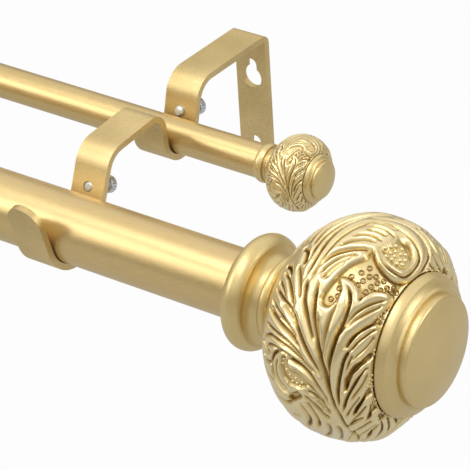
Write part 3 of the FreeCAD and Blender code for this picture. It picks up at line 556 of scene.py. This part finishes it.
def soften(grid, times):
    """Evens out the heights; the columns close on themselves."""
    for number in range(times):
        above = np.vstack([grid[:1], grid[:-1]])
        below = np.vstack([grid[1:], grid[-1:]])
        grid = 0.5 * grid + 0.25 * (above + below)
        grid = 0.5 * grid + 0.25 * (np.roll(grid, 1, 1) + np.roll(grid, -1, 1))
    return grid


class Relief:
    """Height of the carving over the unrolled ball. Distances are on the large ball."""

    def __init__(self, rows, columns):
        neck = rows // 12
        self.s = np.concatenate([np.linspace(0, SPARSE_END, neck, endpoint=False),
                                 np.linspace(SPARSE_END, LEAF_SPAN, rows - neck)])
        self.a = np.arange(columns) * 360.0 / columns
        self.x, self.r = ball_rows(BALLS["front"], self.s / LEAF_SPAN)
        s, a = np.meshgrid(self.s, self.a, indexing="ij")
        self.point = self.place(np.stack([s, a], -1))
        self.valley = np.zeros((rows, columns))
        self.edge = np.zeros((rows, columns))
        self.near = np.full((rows, columns), FAR)

    def place(self, path):
        """Points in space for points (s, a)."""
        x = np.interp(path[..., 0], self.s, self.x)
        r = np.interp(path[..., 0], self.s, self.r)
        turn = np.radians(path[..., 1])
        return np.stack([x, -r * np.cos(turn), r * np.sin(turn)], -1)

    def window(self, path, margin):
        """Rows and columns near the path."""
        low, high = path[:, 0].min() - margin, path[:, 0].max() + margin
        rows = np.nonzero((self.s >= low) & (self.s <= high))[0]
        middle = (path[:, 1].min() + path[:, 1].max()) / 2
        half = (path[:, 1].max() - path[:, 1].min()) / 2 + margin * 3
        columns = np.nonzero(np.abs((self.a - middle + 180) % 360 - 180) <= half)[0]
        return np.ix_(rows, columns)

    def distance(self, path, margin):
        """Distance from the path and the share of its length there."""
        spot = self.window(path, margin)
        near = self.point[spot]
        curve = self.place(path)
        best = np.full(near.shape[:2], FAR)
        share = np.zeros(near.shape[:2])
        steps = len(curve) - 1
        for number in range(steps):
            start = curve[number]
            run = curve[number + 1] - start
            t = np.clip(((near - start) @ run) / (run @ run), 0, 1)
            gap = np.linalg.norm(near - start - t[..., None] * run, axis=-1)
            share = np.where(gap < best, (number + t) / steps, share)
            best = np.minimum(best, gap)
        return spot, best, share

    def crease(self, path, widths, depth):
        spot, gap, share = self.distance(path, 4.0)
        width = np.interp(share, [0, 0.5, 1], widths)
        fade = np.clip(np.minimum(share, 1 - share) / 0.12, 0, 1) ** 0.6
        valley = depth * fade * np.clip(1 - gap / (1.9 * width), 0, 1) ** 1.5
        self.valley[spot] = np.maximum(self.valley[spot], valley)
        self.near[spot] = np.minimum(self.near[spot], gap + 3 * (1 - fade))

    def raised(self, path, width, height):
        spot, gap, share = self.distance(path, 2.0)
        fade = np.clip(np.minimum(share, 1 - share) / 0.1, 0, 1)
        edge = height * fade * np.exp(-(gap / width) ** 2)
        self.edge[spot] = np.maximum(self.edge[spot], edge)

    def inside(self, corners):
        """What lies inside the outline, and how far from it."""
        corners = smooth_path(np.vstack([corners, corners[:1]]), 3)[:-1]
        spot = self.window(corners, 4.0)
        middle = (corners[:, 1].min() + corners[:, 1].max()) / 2
        across = math.radians(1) * np.interp(corners[:, 0].mean(), self.s, self.r)
        a = (self.a[spot[1]] - middle + 180) % 360 - 180 + middle
        x, y = np.broadcast_arrays(self.s[spot[0]], a * across)
        inside = np.zeros(x.shape, bool)
        gap = np.full(x.shape, FAR)
        points = corners * [1, across]
        for (x0, y0), (x1, y1) in zip(points, np.roll(points, -1, 0)):
            if y0 != y1:
                inside ^= ((y0 > y) != (y1 > y)) & (x < (x1 - x0) * (y - y0) / (y1 - y0) + x0)
            length = max((x1 - x0) ** 2 + (y1 - y0) ** 2, 1e-9)
            t = np.clip(((x - x0) * (x1 - x0) + (y - y0) * (y1 - y0)) / length, 0, 1)
            gap = np.minimum(gap, np.hypot(x - x0 - t * (x1 - x0), y - y0 - t * (y1 - y0)))
        return spot, inside, gap

    def pocket(self, corners, slope):
        """Where the ground is sunken, from 0 outside to 1 on its floor."""
        spot, inside, gap = self.inside(corners)
        self.near[spot] = np.minimum(self.near[spot], np.where(inside, FAR, gap))
        share = np.where(inside, np.clip(gap / slope + 0.3, 0, 1), np.clip(0.3 - gap / slope, 0, 1))
        return spot, share * share * (3 - 2 * share)

    def carve(self, least, wider):
        """All creases at least so deep, their widths times wider, with pockets and edges."""
        grounds = []
        for turn in (0, 180):
            for floor, slope, corners in POCKETS:
                spot, share = self.pocket(np.array(corners) + [0, turn], slope)
                grounds.append((spot, floor, share))
            for depth, widths, points in CREASES:
                if depth >= least:
                    self.crease(smooth_path(points) + [0, turn], np.array(widths) * wider, depth)
            for height, width, points in EDGES:
                self.raised(smooth_path(points) + [0, turn], width * wider, height)
        fall = LEAF_FALL * np.exp(-self.near / FALL_WIDTH)
        height = LEAF_HEIGHT - fall + self.edge - CREASE_DEPTH * self.valley
        for spot, floor, share in grounds:
            here = height[spot]
            height[spot] = here + (np.minimum(floor, here) - here) * share
        # plain neck with short lobes towards the collar
        s = self.s[:, None]
        rounds = np.abs(np.cos(np.radians(self.a * 5)))[None, :] ** 0.5
        lobes = 0.3 + 0.5 * rounds * np.clip((15 - s) / 6, 0, 1)
        height += (lobes - height) * np.clip((NECK_END - s) / 3, 0, 1)
        # the leaf tips meet the cap's ring
        share = np.clip((s - TIPS_START) / 1.4, 0, 1)
        height += (np.maximum(height, TIP_HEIGHT) - height) * share
        self.height = soften(np.clip(height, LOWEST, 1), 1)
        return self


def small_ring(radius):
    """A ring lying on the ground, as points along two directions in it and out of it."""
    around, section = 14, 6
    points, faces = [], []
    for step in range(around):
        turn = math.tau * step / around
        here, after = step * section, (step + 1) % around * section
        for part in range(section):
            lean = math.tau * part / section
            reach = radius * (0.76 + 0.24 * math.cos(lean))
            points.append((reach * math.cos(turn), reach * math.sin(turn),
                           radius * (0.1 + 0.4 * math.sin(lean))))
            beside = (part + 1) % section
            faces.append((here + part, after + part, after + beside, here + beside))
    return points, faces


def small_bead(radius):
    """A bead standing on the ground, in the same directions."""
    around, loops = 10, 3
    points, faces = [(0, 0, radius * 0.8)], []
    for loop in range(1, loops + 1):
        lean = math.radians(32 * loop)
        for step in range(around):
            turn = math.tau * step / around
            reach = radius * math.sin(lean)
            points.append((reach * math.cos(turn), reach * math.sin(turn),
                           radius * (math.cos(lean) - 0.2)))
    for step in range(around):
        after = (step + 1) % around
        faces.append((0, 1 + step, 1 + after))
        for loop in range(loops - 1):
            low = 1 + loop * around
            faces.append((low + step, low + around + step, low + around + after, low + after))
    faces.append(tuple(range(loops * around, (loops - 1) * around, -1)))
    return points, faces


# Small forms set on the ground: places, shape, radius on the large ball and painted shading, low on
# the rings for painted shade and high on the beads for painted highlight.

SMALL_FORMS = [
    (RING_DOTS, small_ring, 1.08, 0.32),
    (RING_DOTS, small_bead, 0.42, 0.8),
    (BERRIES, small_bead, 0.95, 0.7),
    (BEADS, small_bead, 0.6, 0.75),
    (STIPPLES, small_bead, 0.5, 0.7),
]

# Painted shading of the plain loops at the bore and the cap's ring: a little painted shade, just
# under the even ground's tone.
PLAIN_PAINTED_SHADING = 0.6


def painted_shading_of(ball, height):
    """Painted shading from the heights: 0.66 on even ground, lower in hollows and most in fine ones
    as painted shade, higher on ridges as painted highlight.
    """
    broad = soften(height, 16) - height
    fine = np.maximum(soften(height, 3) - height, 0)
    return np.clip(0.66 - ball["painted_shading"] * (1.1 * broad + 2.6 * fine), 0, 1)


def ground_of(carving):
    """How strongly the sunken ground is stippled."""
    deep = np.clip((0.24 - soften(carving.height, 3)) / 0.08, 0, 1)
    return 0.15 * deep * (carving.s > GROUND_START)[:, None]


def carved_surface(ball, carving):
    """x and radius of every point of the carving, and of the rows over the leaves."""
    shares = carving.s / LEAF_SPAN
    x, r = ball_rows(ball, shares)
    cut = ball["relief"] * (1 - np.minimum(carving.height, 1.0))
    radius = r[:, None] - cut
    # over the shoulder the carving is cut back from the ring along the pole, not across it
    flat = np.clip((shares - 0.9) / 0.06, 0, 1)[:, None]
    along = x[:, None] - 0.35 * cut * flat
    shallow = np.maximum(r[:, None] - 0.4 * (r[:, None] - radius), ball["rim"])
    return along, radius * (1 - flat) + flat * shallow, x, r


def carved_faces(loops, columns):
    """Quads between the loops round the ball, the last of them the bore's wall."""
    first = np.arange(loops - 1)[:, None] * columns
    column = np.arange(columns)
    here = first + column[None, :]
    after = first + ((column + 1) % columns)[None, :]
    quads = np.stack([here, after, after + columns, here + columns], -1).reshape(-1, 4)
    last = (loops - 1) * columns
    beside = (column + 1) % columns
    bore = np.stack([column, last + column, last + beside, beside], -1)
    return np.concatenate([quads, bore]).tolist()


def carved_piece(name, side, pole, carving):
    ball = BALLS[pole]
    seat = SEATS[side, pole]
    facing = 1 if side == "right" else -1
    rows, columns = carving.height.shape
    turn = np.radians(np.arange(columns) * 360.0 / columns)

    def placed(x, radius, turn):
        return np.stack([x * facing + seat, ball["axis"][0] - facing * radius * np.cos(turn),
                         ball["axis"][1] + radius * np.sin(turn)], -1)

    def loop(x, radius):
        return placed(np.full(columns, x), np.full(columns, radius), turn)

    along, radius, x, r = carved_surface(ball, carving)
    points = np.concatenate([
        loop(ball["start"], ball["bore"]),
        placed(along, radius, np.broadcast_to(turn[None, :], radius.shape)).reshape(-1, 3),
        loop(ball["end"], ball["rim"] - 0.02),
        loop(ball["end"], ball["bore"])]).tolist()
    faces = carved_faces(rows + 3, columns)
    painted_shadings = []
    for places, build, size, painted_shading in SMALL_FORMS:
        shape, sides = build(size * growth(ball))
        for s, a in [(s, a + turned) for s, a in places for turned in (0, 180)]:
            row = int(np.argmin(np.abs(carving.s - s)))
            column = int(round((a % 360) / 360 * columns)) % columns
            middle = np.array([along[row, column], radius[row, column]])
            after = min(row + 1, rows - 1)
            slope = np.array([x[after] - x[row - 1], r[after] - r[row - 1]])
            slope /= np.linalg.norm(slope)
            first = len(points)
            for u, v, w in shape:
                at = middle + slope * u + np.array([-slope[1], slope[0]]) * w
                swing = math.radians(a) + v / max(middle[1], 1)
                points.append(placed(at[0], at[1], np.array(swing)).tolist())
            faces.extend([tuple(first + corner for corner in face) for face in sides])
            painted_shadings.extend([painted_shading] * len(shape))
    plain = np.full(columns, PLAIN_PAINTED_SHADING)
    bare = np.zeros(columns)
    # Painted shade and painted highlight for every point, handed to the leaf material as an
    # attribute.
    painted_shading = [plain, painted_shading_of(ball, carving.height).ravel(), plain, plain, painted_shadings]
    ground = [bare, ground_of(carving).ravel(), bare, bare, np.zeros(len(painted_shadings))]
    mesh = bpy.data.meshes.new(name)
    mesh.from_pydata((np.array(points) * MM).tolist(), [], faces)
    for layer, values in (("painted_shading", painted_shading), ("ground", ground)):
        data = mesh.attributes.new(layer, "FLOAT", "POINT").data
        data.foreach_set("value", np.concatenate(values))
    mesh.polygons.foreach_set("use_smooth", np.ones(len(mesh.polygons), bool))
    mesh.materials.append(LEAF_GOLD)
    return link(bpy.data.objects.new(name, mesh))


reliefs = {pole: Relief(*size).carve(least, wider)
           for pole, (size, least, wider) in CARVINGS.items()}
for (side, pole) in SEATS:
    node = side + "_" + pole + "_ball"
    piece = carved_piece(side + "_" + pole + "_carving", side, pole, reliefs[pole])
    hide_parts(node)
    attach(piece, {"right": "frame"}.get(side, pole + "_slide"))


# Floor and light

FLOOR_HALF = 6
FLOOR_HEIGHT = -0.3
FLOOR_GREY = 0.36
WHITE = (1, 1, 1)

# The world's colour by height: warm and dim at the horizon, white overhead.

SKY = [(0.0, (0.24, 0.2, 0.14)), (0.2, (0.28, 0.24, 0.18)), (0.52, WHITE)]
SKY_STRENGTH = 0.97

# The share of plain white in the floor and the sky, as seen and as mirrored in metal.

FLOOR_SEEN = 0.97
FLOOR_MIRRORED = 0.3
SKY_SEEN = 1.0
SKY_MIRRORED = 0.15


def white_share(nodes, links, plain, white, seen, mirrored, output):
    """White to the camera and partly to reflections, the plain shader to other rays."""
    rays = nodes.new("ShaderNodeLightPath")
    glossy = calculate(nodes, links, "MULTIPLY", rays.outputs["Is Glossy Ray"], mirrored)
    share = calculate(nodes, links, "MULTIPLY_ADD", rays.outputs["Is Camera Ray"], seen, glossy)
    mixed = nodes.new("ShaderNodeMixShader")
    links.new(share, mixed.inputs["Fac"])
    links.new(plain, mixed.inputs[1])
    links.new(white, mixed.inputs[2])
    links.new(mixed.outputs["Shader"], output)


floor_paint, nodes, links, shader = new_material("floor_paint")
shader.inputs["Base Color"].default_value = (FLOOR_GREY, FLOOR_GREY, FLOOR_GREY, 1)
shader.inputs["Roughness"].default_value = 0.9
lit = nodes.new("ShaderNodeEmission")
lit.inputs["Color"].default_value = (*WHITE, 1)
white_share(nodes, links, shader.outputs["BSDF"], lit.outputs["Emission"],
            FLOOR_SEEN, FLOOR_MIRRORED, nodes["Material Output"].inputs["Surface"])

floor_mesh = bpy.data.meshes.new("floor")
corners = [(x * FLOOR_HALF, y * FLOOR_HALF, 0) for x, y in ((-1, -1), (1, -1), (1, 1), (-1, 1))]
floor_mesh.from_pydata(corners, [], [(0, 1, 2, 3)])
floor_mesh.materials.append(floor_paint)
floor = link(bpy.data.objects.new("floor", floor_mesh))
floor.location = (0, 0, FLOOR_HEIGHT)

world = bpy.data.worlds.new("world")
bpy.context.scene.world = world
world.use_nodes = True
nodes, links = world.node_tree.nodes, world.node_tree.links
axes = nodes.new("ShaderNodeSeparateXYZ")
links.new(nodes.new("ShaderNodeTexCoord").outputs["Generated"], axes.inputs["Vector"])
sky = nodes["Background"]
sky.inputs["Strength"].default_value = SKY_STRENGTH
links.new(ramp(nodes, links, axes.outputs["Z"], SKY), sky.inputs["Color"])
bright = nodes.new("ShaderNodeBackground")
bright.inputs["Color"].default_value = (*WHITE, 1)
white_share(nodes, links, sky.outputs["Background"], bright.outputs["Background"],
            SKY_SEEN, SKY_MIRRORED, nodes["World Output"].inputs["Surface"])


def softbox(name, at, aim, size, power):
    data = bpy.data.lights.new(name, "AREA")
    data.shape = "RECTANGLE"
    data.size, data.size_y = size
    data.energy = power
    lamp = link(bpy.data.objects.new(name, data))
    lamp.location = at
    lamp.rotation_euler = (Vector(aim) - Vector(at)).to_track_quat("-Z", "Y").to_euler()


softbox("above", (-0.1, -0.5, 1.3), (0, -0.1, 0), (1.4, 0.5), 7)
softbox("left", (-1.2, -1.2, 0.9), (0, -0.1, 0), (0.6, 1.0), 5.5)
softbox("right", (1.5, 0.4, 0.7), (0.1, -0.1, 0), (0.5, 0.9), 5)

bpy.context.scene.view_settings.view_transform = "Standard"
